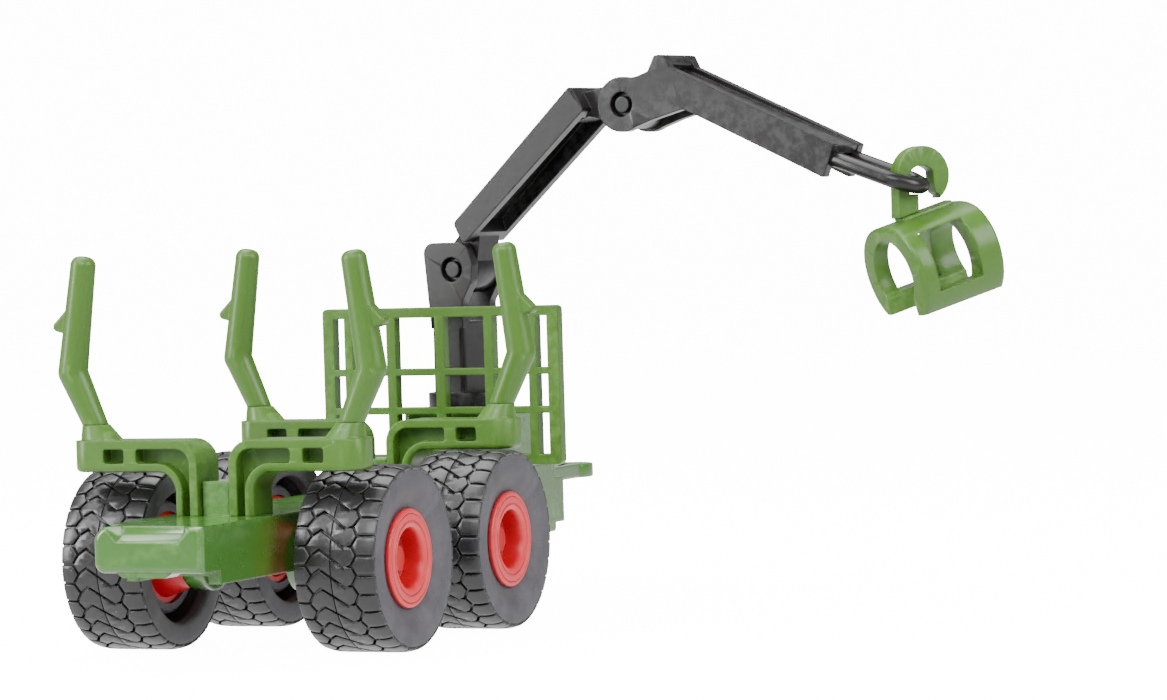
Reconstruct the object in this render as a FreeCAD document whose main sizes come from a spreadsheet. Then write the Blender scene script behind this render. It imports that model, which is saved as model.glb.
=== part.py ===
import FreeCAD, Part
import Sketcher
import math
import os

# ---------------------------------------------------------------------------
# Toy forestry trailer with a loading crane and a hang-on log grapple.
# Frame: +Z up, +Y towards the drawbar, +X to the right-hand side, origin in
# the middle of the drawbar eye.  The sizes below are measured from the floor
# under the rear axle; node() moves every finished piece into the eye's frame.
# Millimetres.
# ---------------------------------------------------------------------------

V = FreeCAD.Vector
doc = FreeCAD.newDocument("ForestryTrailer")
sheet = doc.addObject("Spreadsheet::Sheet", "Sizes")
sheet.Label = "Sizes"

SIZES = [
    # running gear
    ("tyre_rad", 9.3), ("tyre_outx", 17.4), ("tyre_inx", 8.5), ("tyre_seat", 4.65),
    ("tyre_mouth", 6.6), ("tyre_tread", 2.0), ("tyre_side", 1.6),
    ("rim_facex", 17.05), ("rim_flange", 4.93), ("rim_inx", 10.4), ("rim_floor", 14.8),
    ("rim_mouth", 2.95), ("boss_x", 15.65), ("boss_rad", 1.5), ("hub_inx", 7.3), ("hub_rin", 2.95), ("hub_rout", 4.05),
    ("wheel_bore", 0.8), ("bore_end", 14.0), ("axle_rad", 0.75), ("axle_half", 13.9), ("axle_z", 9.3), ("axle_gap", 24.1),
    # chassis casting
    ("ch_half", 5.9), ("ch_bot", 8.3), ("ch_top", 14.1), ("ch_rear", -22.8), ("ch_front", 63.4),
    ("ch_side", 1.2), ("ch_roof", 1.2), ("ch_tail", 30.8), ("ch_nose", 1.3),
    ("lobe_rad", 3.3), ("lobe_out", 7.0), ("rec_half", 3.3), ("rec_rad", 1.8), ("rec_end", 1.1), ("tail_r", 1.5), ("tail_soft", 0.65), ("tail_low", 9.6), ("wall_right", -19.1), ("wall_left", -16.2), ("nose_top", 13.3), ("nose_y", 60.4), ("tier_top", 15.0),
    # drawbar
    ("db_half", 1.9), ("db_bot", 12.2), ("db_top", 13.8), ("db_root", 15.0), ("db_wide", 3.6), ("eye_z", 13.0), ("eye_y", 78.2), ("eye_rad", 2.6), ("eye_hole", 1.3),
    # crane tower on the chassis
    ("tw_rear", 46.4), ("tw_front", 55.2), ("tw_top", 21.4), ("tw_wall", 1.3), ("tw_floor", 5.6), ("piv_rad", 2.0), ("piv_deep", 5.0),
    # bunks
    ("bk_rear", -6.7), ("bk_front", 28.6), ("bk_deep", 4.6), ("bk_in", 1.76), ("bk_leg", 4.35),
    ("bk_under", 18.45), ("bk_up", 21.6), ("bk_end", 15.95), ("bk_flange", 0.85), ("bk_pock", 1.6),
    ("bk_rout", 2.4), ("bk_rinn", 2.0), ("sk_x", 14.2), ("sk_top", 23.1),
    # stakes
    ("st_r0", 1.15), ("st_kx", 16.6), ("st_kz", 28.35), ("st_rk", 1.5), ("st_tx", 15.1), ("st_tz", 38.7),
    ("st_rt", 1.28), ("barb_x", 18.86), ("barb_z", 32.7), ("barb_t", 1.6),
    # headboard
    ("hb_rear", 43.9), ("hb_thick", 1.3), ("hb_half", 14.1), ("hb_bot", 15.8), ("hb_top", 32.9),
    ("hb_post", 1.35), ("hb_bar", 1.1), ("hb_rail", 0.75),
    # crane
    ("cr_y", 50.8), ("cr_yaw", -8.0), ("cr_half", 3.43), ("cr_plate", 1.3),
    ("pin1_u", 0.6), ("pin1_z", 36.9), ("head_rad", 2.95), ("col_l", -2.25), ("col_r", 1.85),
    ("col_gap", 31.0), ("base_rad", 4.3), ("base_top", 23.4),
    ("pin_hole", 1.35), ("pin_rad", 1.3), ("pin_stub", 0.85), ("lug_half", 2.0), ("lug_rad", 2.6),
    ("pin2_u", 22.8), ("pin2_z", 54.1), ("mb_half", 3.85), ("mb_wall", 1.15),
    ("ob_wall", 1.2), ("disc_rad", 2.95),
    ("bar_rad", 0.82), ("loop_v", 2.32), ("loop_u0", 45.5), ("loop_z0", 48.35), ("loop_uc", 54.2), ("loop_zc", 45.25), ("loop_turn", 35.1), ("loop_side", 0.8), ("loop_back", 0.136),
    # grapple
    ("gr_u", 55.387), ("gr_v", 1.752), ("gr_z", 44.827), ("gr_yaw", 48.4), ("gr_tilt", 0.0),
    ("hk_out", 3.05), ("hk_off", 0.2), ("hk_up", 0.75), ("hk_slot", 1.5), ("hk_top", 1.74), ("hk_thick", 1.75), ("hk_tip", 1.4),
    ("sd_x", 1.48), ("sd_z", -7.95), ("sd_tilt", 16.3), ("sd_len", 9.9), ("sd_in", 3.8), ("sd_drop", 0.3), ("sd_out", 5.9),
    ("sd_up", 1.05), ("sd_leg", 4.6), ("win_at", -0.5), ("win_len", 5.3), ("win_lo", -2.55), ("win_hi", 3.7),
]
VALUES = {}
for row, (alias, value) in enumerate(SIZES, start=1):
    sheet.set("A%d" % row, alias)
    sheet.set("B%d" % row, repr(float(value)))
    sheet.setAlias("B%d" % row, alias)
    VALUES[alias] = float(value)
doc.recompute()


class Dim:
    """A number that also carries the sheet expression it comes from."""

    def __init__(self, v, t):
        self.v = float(v)
        self.t = t

    @staticmethod
    def of(o):
        return o if isinstance(o, Dim) else Dim(o, "(%s)" % repr(float(o)))

    def __add__(self, o):
        o = Dim.of(o)
        return Dim(self.v + o.v, "(%s + %s)" % (self.t, o.t))

    def __radd__(self, o):
        return Dim.of(o) + self

    def __sub__(self, o):
        o = Dim.of(o)
        return Dim(self.v - o.v, "(%s - %s)" % (self.t, o.t))

    def __rsub__(self, o):
        return Dim.of(o) - self

    def __mul__(self, o):
        o = Dim.of(o)
        return Dim(self.v * o.v, "(%s * %s)" % (self.t, o.t))

    def __rmul__(self, o):
        return Dim.of(o) * self

    def __truediv__(self, o):
        o = Dim.of(o)
        return Dim(self.v / o.v, "(%s / %s)" % (self.t, o.t))

    def __neg__(self):
        return Dim(-self.v, "(0 - %s)" % self.t)


def D(alias):
    return Dim(VALUES[alias], "Sizes." + alias)


def bind(obj, prop, dim):
    dim = Dim.of(dim)
    obj.setExpression(prop, dim.t)


def place(obj, x, y, z):
    for name, d in (("x", x), ("y", y), ("z", z)):
        d = Dim.of(d)
        obj.setExpression("Placement.Base." + name, d.t)


COUNT = [0]


def uid(stem):
    COUNT[0] += 1
    return "%s_%03d" % (stem, COUNT[0])


def box(x0, x1, y0, y1, z0, z1, stem="Box"):
    o = doc.addObject("Part::Box", uid(stem))
    bind(o, "Length", Dim.of(x1) - x0)
    bind(o, "Width", Dim.of(y1) - y0)
    bind(o, "Height", Dim.of(z1) - z0)
    place(o, x0, y0, z0)
    return o


ROT = {"X": FreeCAD.Rotation(V(0, 1, 0), 90), "Y": FreeCAD.Rotation(V(1, 0, 0), -90), "Z": FreeCAD.Rotation()}


def cyl(axis, r, length, x, y, z, stem="Cyl"):
    o = doc.addObject("Part::Cylinder", uid(stem))
    bind(o, "Radius", r)
    bind(o, "Height", length)
    o.Placement = FreeCAD.Placement(V(0, 0, 0), ROT[axis])
    place(o, x, y, z)
    return o


def cone(axis, r1, r2, length, x, y, z, stem="Cone"):
    o = doc.addObject("Part::Cone", uid(stem))
    bind(o, "Radius1", r1)
    bind(o, "Radius2", r2)
    bind(o, "Height", length)
    o.Placement = FreeCAD.Placement(V(0, 0, 0), ROT[axis])
    place(o, x, y, z)
    return o


def fuse(*parts, stem="Fuse"):
    o = doc.addObject("Part::MultiFuse", uid(stem))
    o.Shapes = list(parts)
    o.Refine = True
    return o


def cut(base, *tools, stem="Cut"):
    t = tools[0] if len(tools) == 1 else fuse(*tools)
    o = doc.addObject("Part::Cut", uid(stem))
    o.Base = base
    o.Tool = t
    o.Refine = True
    return o


def soft_edges(base, pick, radius, stem="Fillet"):
    """Part::Fillet on the edges that pick(edge) accepts."""
    doc.recompute()
    rows = []
    for i, e in enumerate(base.Shape.Edges, start=1):
        if pick(e):
            rows.append((i, float(Dim.of(radius).v), float(Dim.of(radius).v)))
    o = doc.addObject("Part::Fillet", uid(stem))
    o.Base = base
    o.Edges = rows
    return o


def along(e, axis):
    if not isinstance(e.Curve, (Part.Line,)):
        return False
    d = e.Vertexes[-1].Point - e.Vertexes[0].Point
    if d.Length < 1e-9:
        return False
    d.normalize()
    return abs(abs(getattr(d, axis)) - 1.0) < 1e-6


def mid(e):
    return e.valueAt((e.FirstParameter + e.LastParameter) / 2.0)


NODES = []


def node(obj, name, x=0.0, y=0.0, z=0.0):
    """Name a finished sub-part and place it at (x, y, z) of the floor frame."""
    obj.Label = name
    place(obj, x, Dim.of(y) - D("eye_y"), Dim.of(z) - D("eye_z"))
    NODES.append((name, obj))
    return obj


def origin_plane(body, role):
    for f in body.Origin.OriginFeatures:
        if f.Role == role:
            return f
    raise RuntimeError("no plane " + role)


def sketch_on(body, role, name):
    sk = body.newObject("Sketcher::SketchObject", uid(name))
    sk.AttachmentSupport = [(origin_plane(body, role), "")]
    sk.MapMode = "FlatFace"
    return sk


def fix_point(sk, geo, pos, px, py):
    """Pin one vertex of a sketch to the sheet, both ways."""
    for kind, d, axis in (("DistanceX", Dim.of(px), -2), ("DistanceY", Dim.of(py), -1)):
        if abs(d.v) < 1e-9:
            sk.addConstraint(Sketcher.Constraint("PointOnObject", geo, pos, axis))
        else:
            i = sk.addConstraint(Sketcher.Constraint(kind, -1, 1, geo, pos, d.v))
            sk.setExpression("Constraints[%d]" % i, d.t)


def polygon(sk, pts):
    """Closed outline of straight runs through pts, every corner bound."""
    first = sk.GeometryCount
    n = len(pts)
    for i in range(n):
        a, b = pts[i], pts[(i + 1) % n]
        sk.addGeometry(Part.LineSegment(V(Dim.of(a[0]).v, Dim.of(a[1]).v, 0), V(Dim.of(b[0]).v, Dim.of(b[1]).v, 0)), False)
    for i in range(n):
        sk.addConstraint(Sketcher.Constraint("Coincident", first + i, 2, first + (i + 1) % n, 1))
    for i in range(n):
        fix_point(sk, first + i, 1, pts[i][0], pts[i][1])


def circle(sk, x, y, r):
    g = sk.addGeometry(Part.Circle(V(Dim.of(x).v, Dim.of(y).v, 0), V(0, 0, 1), Dim.of(r).v), False)
    fix_point(sk, g, 3, x, y)
    i = sk.addConstraint(Sketcher.Constraint("Radius", g, Dim.of(r).v))
    sk.setExpression("Constraints[%d]" % i, Dim.of(r).t)


def new_body(name):
    b = doc.addObject("PartDesign::Body", uid("Body_" + name))
    return b


def pad(body, sk, length, both=False, reverse=False):
    p = body.newObject("PartDesign::Pad", uid("Pad"))
    p.Profile = sk
    bind(p, "Length", length)
    p.Midplane = both
    p.Reversed = reverse
    doc.recompute()
    return p


def pocket(body, sk, length, both=False, reverse=False):
    before = body.Shape.Volume
    p = body.newObject("PartDesign::Pocket", uid("Pocket"))
    p.Profile = sk
    bind(p, "Length", length)
    p.Midplane = both
    p.Reversed = reverse
    doc.recompute()
    if not body.Shape.Volume < before - 1e-6:
        raise RuntimeError("pocket removed nothing in " + body.Name)
    return p


def revolve(body, sk, axis_edge="H_Axis"):
    r = body.newObject("PartDesign::Revolution", uid("Revolution"))
    r.Profile = sk
    r.ReferenceAxis = (sk, [axis_edge])
    r.Angle = 360.0
    doc.recompute()
    return r


def blend_edges(body, pick, radius):
    """PartDesign::Fillet on the edges of the body's last feature."""
    doc.recompute()
    tip = body.Tip
    names = ["Edge%d" % i for i, e in enumerate(tip.Shape.Edges, start=1) if pick(e)]
    if not names:
        raise RuntimeError("no edges to round in " + body.Name)
    f = body.newObject("PartDesign::Fillet", uid("Round"))
    f.Base = (tip, names)
    bind(f, "Radius", radius)
    doc.recompute()
    return f


# ---------------------------------------------------------------------------
# Chassis casting: a pan open underneath, with axle lobes, a stepped tail and
# small feet under its corners.
# ---------------------------------------------------------------------------
hw = D("ch_half")
pan = box(-hw, hw, D("wall_right"), D("ch_front"), D("ch_bot"), D("ch_top"), "Pan")
pan_r = soft_edges(pan, lambda e: along(e, "z") and mid(e).y > 0, 0.9)
# the closed tail behind the side walls, rounded all over
tail = box(-hw, hw, D("ch_rear"), D("wall_right") + 1.0, D("tail_low"), D("ch_top"), "Tail")
tail_mid = (VALUES["ch_top"] + VALUES["tail_low"]) / 2.0
tail_a = soft_edges(tail, lambda e: along(e, "y") and mid(e).x < 0 and mid(e).z > tail_mid, D("tail_r"))
tail_a = soft_edges(tail_a, lambda e: along(e, "y") and mid(e).x < 0 and mid(e).z < VALUES["tail_low"] + 0.01, D("tail_r") - 0.5)
tail_b = soft_edges(tail_a, lambda e: mid(e).y < VALUES["ch_rear"] + 0.01, D("tail_soft"))
lobes = []
for k in (0, 1):
    ay = D("axle_gap") * k
    for s in (-1, 1):
        x0 = D("ch_half") - D("ch_side") if s > 0 else -D("lobe_out")
        lobes.append(cyl("X", D("lobe_rad"), D("lobe_out") - D("ch_half") + D("ch_side"), x0, ay, D("axle_z"), "Lobe"))
boss = []
for y0 in (D("bk_rear"), D("bk_front")):
    boss.append(box(-1.45, 1.45, y0 - 1.7, y0 + 1.7, D("ch_top"), D("ch_top") + 3.4, "Boss"))
# small feet under the corners
feet = []
for s in (-1, 1):
    for y0 in (57.4,):
        xa = hw - D("ch_side") - 0.3 if s > 0 else -hw
        foot = box(xa, xa + D("ch_side") + 0.3, y0, y0 + 3.0, D("ch_bot") - 0.95, D("ch_bot") + 0.4, "Foot")
        feet.append(soft_edges(foot, lambda e: along(e, "x") and mid(e).z < VALUES["ch_bot"], 0.5))
tier = box(-hw, hw, D("bk_front") + 13.2, D("nose_y"), D("ch_top"), D("tier_top"), "Tier")
tier_r = soft_edges(tier, lambda e: along(e, "z"), 0.8)
# the left side wall starts a little further forward, and the tail has a middle lip
tail_gap = box(-hw - 1.0, D("ch_half") * 0, D("wall_right") - 1.0, D("wall_left"), D("ch_bot") - 1.0, D("tail_low"), "TailGap")
lip_sk_body = new_body("TailLip")
sk = sketch_on(lip_sk_body, "XZ_Plane", "LipSketch")
polygon(sk, [(-2.9 + Dim.of(0), D("tail_low") - 0.45), (1.7 + Dim.of(0), D("tail_low") - 0.45), (2.9 + Dim.of(0), D("tail_low") + 0.3), (-3.9 + Dim.of(0), D("tail_low") + 0.3)])
pad(lip_sk_body, sk, 2.4)
place(lip_sk_body, 0.0, D("ch_rear") + 2.4 + 0.35, 0.0)
shell = fuse(pan_r, tail_b, *lobes, *boss, *feet, tier_r)
hollow = box(-hw + D("ch_side"), hw - D("ch_side"), D("ch_rear") + D("ch_tail"), D("ch_front") - D("ch_nose"),
             D("ch_bot") - 4.0, D("ch_top") - D("ch_roof"), "Hollow")
tailcut = box(-4.6, 4.6, D("wall_right") - 0.5, D("ch_rear") + D("ch_tail") + 0.5, D("ch_bot") - 1.0, D("ch_bot") + 0.8, "TailCut")
# scoop along the tail's upper rear edge: a hollow roll with tapered ends
sy, sz = D("ch_rear") - 0.2, D("ch_top") + 0.25
scoop = fuse(cyl("X", D("rec_rad"), D("rec_half") * 2, -D("rec_half"), sy, sz, "ScoopMid"),
             cone("X", D("rec_rad"), D("rec_rad") - 1.2, D("rec_end"), D("rec_half"), sy, sz, "ScoopEnd"),
             cone("X", D("rec_rad") - 1.2, D("rec_rad"), D("rec_end"), -D("rec_half") - D("rec_end"), sy, sz, "ScoopEnd"), stem="Scoop")
nosecut = box(-hw - 1.0, hw + 1.0, D("nose_y"), D("ch_front") + 1.0, D("nose_top"), D("tier_top") + 1.0, "NoseCut")
well = box(-hw + D("tw_wall"), hw - D("tw_wall"), D("tw_rear") + D("tw_wall"), D("tw_front") - D("tw_wall"), D("ch_top") - D("ch_roof") - 1.0, D("tier_top") + 1.0, "Well")
bores = [cyl("X", D("axle_rad"), D("lobe_out") * 2 + 2.0, -D("lobe_out") - 1.0, D("axle_gap") * k, D("axle_z"), "AxleBore") for k in (0, 1)]
chassis = cut(shell, hollow, tailcut, tail_gap, scoop, nosecut, well, *bores)
chassis = fuse(chassis, lip_sk_body)
node(chassis, "chassis_frame")

# ---------------------------------------------------------------------------
# Drawbar: a bar that lies on the nose, dips in front of it, narrows and ends
# in a round eye for a hitch pin.
# ---------------------------------------------------------------------------
root = new_body("DrawbarSide")
sk = sketch_on(root, "YZ_Plane", "DrawbarSide")
polygon(sk, [(D("nose_y"), D("nose_top")), (D("ch_front"), D("nose_top")), (D("ch_front"), D("db_bot")), (D("eye_y"), D("db_bot")),
             (D("eye_y"), D("db_top")), (D("ch_front") + 5.6, D("db_top")), (D("ch_front") + 2.0, D("db_root")), (D("nose_y"), D("db_root"))])
pad(root, sk, D("db_wide") * 2, both=True)
plan = new_body("DrawbarPlan")
sk = sketch_on(plan, "XY_Plane", "DrawbarPlan")
polygon(sk, [(-D("db_wide"), D("nose_y")), (D("db_wide"), D("nose_y")), (D("db_wide"), D("ch_front") + 2.4), (D("db_half"), D("ch_front") + 6.0),
             (D("db_half"), D("eye_y")), (-D("db_half"), D("eye_y")), (-D("db_half"), D("ch_front") + 6.0), (-D("db_wide"), D("ch_front") + 2.4)])
pad(plan, sk, D("db_root") + 5.0)
bar = doc.addObject("Part::Common", uid("Common"))
bar.Base = root
bar.Tool = plan
eye = cyl("Z", D("eye_rad"), D("db_top") - D("db_bot"), 0.0, D("eye_y"), D("db_bot"), "Eye")
eye_hole = cyl("Z", D("eye_hole"), D("db_top") - D("db_bot") + 2.0, 0.0, D("eye_y"), D("db_bot") - 1.0, "EyeHole")
drawbar = cut(fuse(bar, eye), eye_hole)
node(drawbar, "drawbar")

# ---------------------------------------------------------------------------
# Crane tower: a block on the chassis that carries the slewing pivot.
# ---------------------------------------------------------------------------
tw = box(-hw, hw, D("tw_rear"), D("tw_front"), D("tier_top"), D("tw_top"), "Tower")
tw_r = soft_edges(tw, lambda e: along(e, "z"), 0.8)
tw_hole = cyl("Z", D("piv_rad"), D("piv_deep") + 1.0, 0.0, D("cr_y"), D("tw_top") - D("piv_deep"), "PivotBore")
tw_pit = box(-hw + D("tw_wall"), hw - D("tw_wall"), D("tw_rear") + D("tw_wall"), D("tw_front") - D("tw_wall"), D("tier_top") - 1.0, D("tw_top") - D("tw_floor"), "TowerPit")
tower = cut(tw_r, tw_pit, tw_hole)
node(tower, "crane_tower")

# ---------------------------------------------------------------------------
# Axles: steel pins through the lobes.
# ---------------------------------------------------------------------------
for name, k in (("rear_axle", 0), ("front_axle", 1)):
    b = new_body(name)
    sk = sketch_on(b, "YZ_Plane", "AxleSketch")
    circle(sk, D("axle_gap") * k, D("axle_z"), D("axle_rad"))
    pad(b, sk, D("axle_half") * 2, both=True)
    node(b, name)


# ---------------------------------------------------------------------------
# Wheels: a moulded rim with a dished face and a long hub, and a hollow tyre.
# Both are turned about the axle, +X side first, then mirrored to the left.
# The sketch lies in XY: its horizontal axis is the wheel's own axis.
# ---------------------------------------------------------------------------
def rim_points(s):
    f, fl, seat = D("rim_facex"), D("rim_flange"), D("tyre_seat")
    fx, m = D("rim_floor"), D("rim_mouth")
    r0 = Dim.of(0)
    pts = [
        (D("hub_inx"), D("wheel_bore")),
        (D("bore_end"), D("wheel_bore")),
        (D("bore_end"), r0),
        (D("boss_x"), r0),
        (D("boss_x"), D("boss_rad") - 0.25),
        (D("boss_x") - 0.25, D("boss_rad")),
        (fx, D("boss_rad")),
        (fx, m - 0.2),
        (f - 0.45, m),
        (f - 0.15, m + 0.15),
        (f, m + 0.62),
        (f - 0.16, m + 0.66),
        (f - 0.16, m + 0.8),
        (f, m + 0.84),
        (f, m + 1.42),
        (f - 0.2, m + 1.46),
        (f - 0.2, fl - 0.5),
        (f - 0.03, fl - 0.46),
        (f, fl - 0.3),
        (f - 0.08, fl - 0.08),
        (f - 0.2, fl),
        (f - 0.55, fl),
        (f - 0.55, seat),
        (D("rim_inx"), seat),
        (D("rim_inx"), D("hub_rout")),
        (D("hub_inx"), D("hub_rin")),
    ]
    return [(Dim.of(a) * s, b) for a, b in pts]


def tyre_points(s):
    R, o, i = D("tyre_rad"), D("tyre_outx"), D("tyre_inx")
    seat = D("tyre_seat")
    f = D("rim_facex")
    pts = [
        (D("rim_inx") - 0.3, seat),
        (f - 0.6, seat),
        (f - 0.6, seat + 0.33),
        (f - 0.05, seat + 0.42),
        (o - 0.2, seat + 0.9),
        (o - 0.14, 6.3 + r_zero()),
        (o, 7.3 + r_zero()),
        (o, R - 0.55),
        (o - 0.12, R - 0.3),
        (o - 0.7, R - 0.1),
        (o - 2.2, R),
        (i + 2.2, R),
        (i + 0.7, R - 0.1),
        (i + 0.12, R - 0.3),
        (i, R - 0.55),
        (i, D("tyre_mouth")),
        (i + D("tyre_side"), D("tyre_mouth")),
        (i + D("tyre_side"), R - D("tyre_tread")),
        (D("rim_inx") + 3.6, R - D("tyre_tread")),
        (D("rim_inx") + 3.6, seat + 1.2),
        (D("rim_inx") - 0.3, seat + 1.2),
    ]
    return [(Dim.of(a) * s, b) for a, b in pts]


def r_zero():
    return Dim.of(0)


for side, s in (("right", 1), ("left", -1)):
    for end, k in (("rear", 0), ("front", 1)):
        for kind, pts in (("rim", rim_points(s)), ("tyre", tyre_points(s))):
            b = new_body(kind)
            sk = sketch_on(b, "XY_Plane", "Profile")
            polygon(sk, pts)
            revolve(b, sk)
            b.Placement = FreeCAD.Placement(V(0, 0, 0), FreeCAD.Rotation())
            node(b, "%s_%s_%s" % (kind, end, side), 0.0, D("axle_gap") * k, D("axle_z"))


# ---------------------------------------------------------------------------
# Bunk arms: bent I-section arms, one each side, standing on the chassis; each
# ends in a block with a round socket for its stake.
# ---------------------------------------------------------------------------
def bent(pts):
    """Polygon in (x, z) with rounded corners given as (x, z, radius)."""
    n = len(pts)
    edges = []
    ends = []
    for i in range(n):
        p0, p1, p2 = pts[i - 1], pts[i], pts[(i + 1) % n]
        c = V(p1[0], 0, p1[1])
        r = p1[2] if len(p1) > 2 else 0.0
        if r <= 0:
            ends.append((c, c, None))
            continue
        a = (V(p0[0], 0, p0[1]) - c).normalize()
        d = (V(p2[0], 0, p2[1]) - c).normalize()
        half = a.getAngle(d) / 2.0
        t = r / math.tan(half)
        s = c + a * t
        e = c + d * t
        bis = (a + d).normalize()
        m = c + bis * (r / math.sin(half) - r)
        ends.append((s, e, m))
    for i in range(n):
        s, e, m = ends[i]
        if m is not None:
            edges.append(Part.Arc(s, m, e).toShape())
        nxt = ends[(i + 1) % n][0]
        if (nxt - e).Length > 1e-7:
            edges.append(Part.makeLine(e, nxt))
    return Part.Face(Part.Wire(Part.__sortEdges__(edges)))


def arm_shape(s):
    q = VALUES
    deep = q["bk_deep"]
    t = q["bk_flange"]
    zb, zu, zt = q["ch_top"], q["bk_under"], q["bk_up"]
    xi, xl, xe = q["bk_in"], q["bk_leg"], q["bk_end"]
    outline = bent([(xi, zb), (xi, zt, q["bk_rout"]), (xe, zt), (xe, zu), (xl, zu, q["bk_rinn"]), (xl, zb)])
    body = outline.extrude(V(0, deep, 0))
    body.translate(V(0, -deep / 2.0, 0))
    # round the outer end of the block in plan and its lower rim
    pick = [e for e in body.Edges if abs(mid(e).x - xe) < 1e-6 and along(e, "z")]
    body = body.makeFillet(1.7, pick)
    pick = [e for e in body.Edges if abs(mid(e).z - zu) < 1e-6 and mid(e).x > 13.9]
    body = body.makeFillet(0.5, pick)
    # pockets on both faces leave a web
    long_p = bent([(xi + t, zb - 1.0), (xi + t, zt - t, q["bk_rout"] - t), (8.55, zt - t, 0.3), (8.55, zu + t, 0.3),
                   (xl - t, zu + t, q["bk_rinn"] + t), (xl - t, zb - 1.0)])
    small_p = bent([(9.9, zt - t, 0.25), (12.2, zt - t, 0.25), (12.2, zu + t, 0.25), (9.9, zu + t, 0.25)])
    for face in (long_p, small_p):
        for y0 in (-deep / 2.0 - 0.5, deep / 2.0 - q["bk_pock"]):
            p = face.extrude(V(0, q["bk_pock"] + 0.5, 0))
            p.translate(V(0, y0, 0))
            body = body.cut(p)
    # the socket flares towards the arm
    low = Part.Wire([Part.Circle(V(q["sk_x"] - 0.75, 0, zt - 0.2), V(0, 0, 1), 2.2).toShape()])
    top = Part.Wire([Part.Circle(V(q["sk_x"] - 0.05, 0, q["sk_top"]), V(0, 0, 1), q["st_r0"] + 0.25).toShape()])
    body = body.fuse(Part.makeLoft([low, top], True, True)).removeSplitter()
    if s < 0:
        body = body.mirror(V(0, 0, 0), V(1, 0, 0))
    return body


for end, y0 in (("rear", "bk_rear"), ("front", "bk_front")):
    for side, s in (("right", 1), ("left", -1)):
        f = doc.addObject("Part::Feature", uid("BunkArm"))
        f.Shape = arm_shape(s)
        node(f, "bunk_arm_%s_%s" % (end, side), 0.0, D(y0), 0.0)


# ---------------------------------------------------------------------------
# Stakes: lean outwards from the socket, kink, and stand up with a domed top
# and an outward barb.
# ---------------------------------------------------------------------------
def rod_between(a, b, ra, rb):
    d = b - a
    if abs(ra - rb) < 1e-9:
        return Part.makeCylinder(ra, d.Length, a, d)
    return Part.makeCone(ra, rb, d.Length, a, d)


def stake_shape(s):
    q = VALUES
    a = V(q["sk_x"], 0, q["sk_top"])
    k = V(q["st_kx"], 0, q["st_kz"])
    t = V(q["st_tx"], 0, q["st_tz"])
    low = rod_between(a - (k - a) * 0.3, k, q["st_r0"], q["st_rk"])
    up = rod_between(k, t, q["st_rk"], q["st_rt"])
    d = (t - k).normalize()
    cap = Part.makeCylinder(q["st_rt"], q["st_rt"] * 0.95, t, d)
    rim = [e for e in cap.Edges if (mid(e) - t).dot(d) > q["st_rt"] * 0.9]
    cap = cap.makeFillet(q["st_rt"] * 0.72, rim)
    sh = low.fuse([Part.makeSphere(q["st_rk"], k), up, cap])
    sh = sh.cut(Part.makeBox(20, 20, 10, V(0, -10, q["sk_top"] - 10)))
    tri = Part.Face(Part.makePolygon([V(15.9, -q["barb_t"] / 2, 35.6), V(q["barb_x"], -q["barb_t"] / 2, q["barb_z"]),
                                      V(15.9, -q["barb_t"] / 2, 31.9), V(15.9, -q["barb_t"] / 2, 35.6)]))
    barb = tri.extrude(V(0, q["barb_t"], 0))
    tip = [e for e in barb.Edges if along(e, "y") and mid(e).x > q["barb_x"] - 0.01]
    barb = barb.makeFillet(0.5, tip)
    rims = [e for e in barb.Edges if abs(abs(mid(e).y) - q["barb_t"] / 2) < 1e-6 and mid(e).x > 16.2]
    barb = barb.makeFillet(0.3, rims)
    sh = sh.fuse(barb).removeSplitter()
    if s < 0:
        sh = sh.mirror(V(0, 0, 0), V(1, 0, 0))
    return sh


for end, y0 in (("rear", "bk_rear"), ("front", "bk_front")):
    for side, s in (("right", 1), ("left", -1)):
        f = doc.addObject("Part::Feature", uid("Stake"))
        f.Shape = stake_shape(s)
        node(f, "stake_%s_%s" % (end, side), 0.0, D(y0), 0.0)

# ---------------------------------------------------------------------------
# Headboard: an upright grid in front of the load, carried by the tower.
# ---------------------------------------------------------------------------
hb = new_body("headboard")
sk = sketch_on(hb, "XZ_Plane", "Grid")
polygon(sk, [(-D("hb_half"), D("hb_bot")), (D("hb_half"), D("hb_bot")), (D("hb_half"), D("hb_top")), (-D("hb_half"), D("hb_top"))])
pad(hb, sk, D("hb_thick"))
cols = [(-D("hb_half") + D("hb_post"), -11.5 + Dim.of(0)), (-10.5 + Dim.of(0), -6.4 + Dim.of(0)), (-5.3 + Dim.of(0), 0.0 - D("hb_bar") / 2),
        (D("hb_bar") / 2, 5.3 + Dim.of(0)), (6.4 + Dim.of(0), 10.5 + Dim.of(0)), (11.5 + Dim.of(0), D("hb_half") - D("hb_post"))]
rows = [(D("hb_bot") + D("hb_bar"), 21.3 + Dim.of(0)), (21.3 + D("hb_rail"), 25.5 + Dim.of(0)), (25.5 + D("hb_rail"), D("hb_top") - D("hb_bar"))]
sk2 = sketch_on(hb, "XZ_Plane", "Gaps")
for xa, xb in cols:
    for za, zb in rows:
        polygon(sk2, [(xa, za), (xb, za), (xb, zb), (xa, zb)])
pocket(hb, sk2, D("hb_thick") * 4, both=True)
blend_edges(hb, lambda e: along(e, "y") and abs(abs(mid(e).x) - VALUES["hb_half"]) < 1e-6, 0.5)
# two short feet stand on the chassis
sk3 = sketch_on(hb, "XZ_Plane", "Feet")
for xa, xb in ((-5.0 + Dim.of(0), -3.6 + Dim.of(0)), (3.6 + Dim.of(0), 5.0 + Dim.of(0))):
    polygon(sk3, [(xa, D("tier_top")), (xb, D("tier_top")), (xb, D("hb_bot") + 0.4), (xa, D("hb_bot") + 0.4)])
pad(hb, sk3, D("hb_thick"))
node(hb, "headboard", 0.0, D("hb_rear") + D("hb_thick"), 0.0)


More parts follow.
